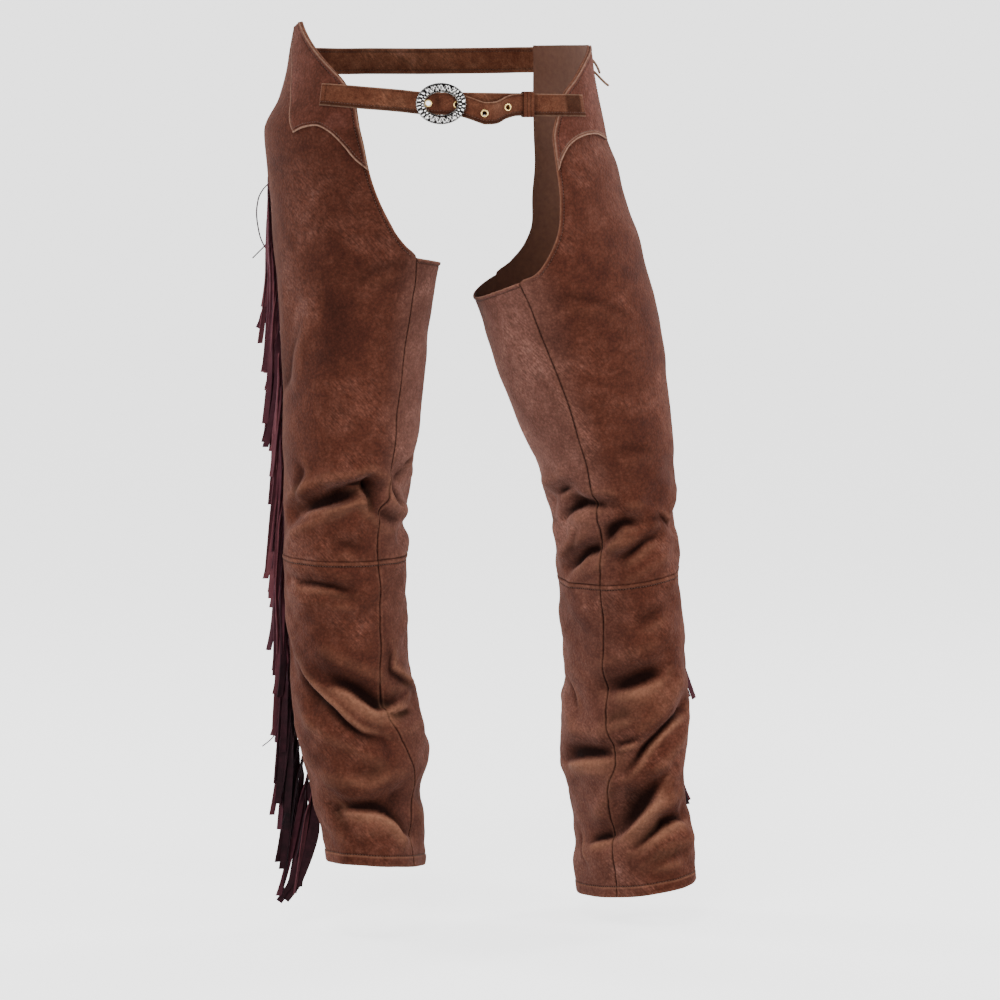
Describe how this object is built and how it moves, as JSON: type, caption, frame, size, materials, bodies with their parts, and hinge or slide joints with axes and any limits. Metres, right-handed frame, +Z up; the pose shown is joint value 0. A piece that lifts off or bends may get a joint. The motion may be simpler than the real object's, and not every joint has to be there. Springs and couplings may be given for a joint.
{
  "type": "pair of leather chaps",
  "caption": "Worn leather chaps with two hollow leg tubes, curved front openings, hip patches, a buckled belt strap in front, a back band and cut fringe down the outseams.",
  "frame": {"origin": "centre of the wearer's waist at the height of the belt strap", "axes": "+Z up the body, -Y out of the front where the buckle is, +X to the wearer's left"},
  "size_m": [0.5112, 0.2706, 1.0244],
  "materials": {
    "brown_suede": "short-nap suede with worn mottling",
    "yoke_suede": "short-nap suede",
    "fringe_leather": "dark suede strands",
    "belt_leather": "matte strap leather",
    "thong_leather": "pale thong leather",
    "eyelet_brass": "polished",
    "cast_silver": "antiqued cast silver"
  },
  "bodies": {
    "root": {"thigh_front_R": "brown_suede", "thigh_back_R": "brown_suede", "thigh_inner_R": "brown_suede", "shin_front_R": "brown_suede", "shin_back_R": "brown_suede", "shin_inner_R": "brown_suede", "yoke_R": "yoke_suede", "fringe_R": "fringe_leather", "thigh_front_L": "brown_suede", "thigh_back_L": "brown_suede", "thigh_inner_L": "brown_suede", "shin_front_L": "brown_suede", "shin_back_L": "brown_suede", "shin_inner_L": "brown_suede", "yoke_L": "yoke_suede", "fringe_L": "fringe_leather", "belt_strap_R": "belt_leather", "belt_strap_L": "belt_leather", "belt_keeper": "belt_leather", "back_band": "belt_leather", "buckle": "cast_silver", "eyelet_1": "eyelet_brass", "eyelet_2": "eyelet_brass", "eyelet_3": "eyelet_brass", "eyelet_4": "eyelet_brass", "lace_tie": "thong_leather", "lace_knot": "thong_leather", "lace_end_low": "thong_leather", "lace_end_short": "thong_leather"}
  },
  "joints": []
}
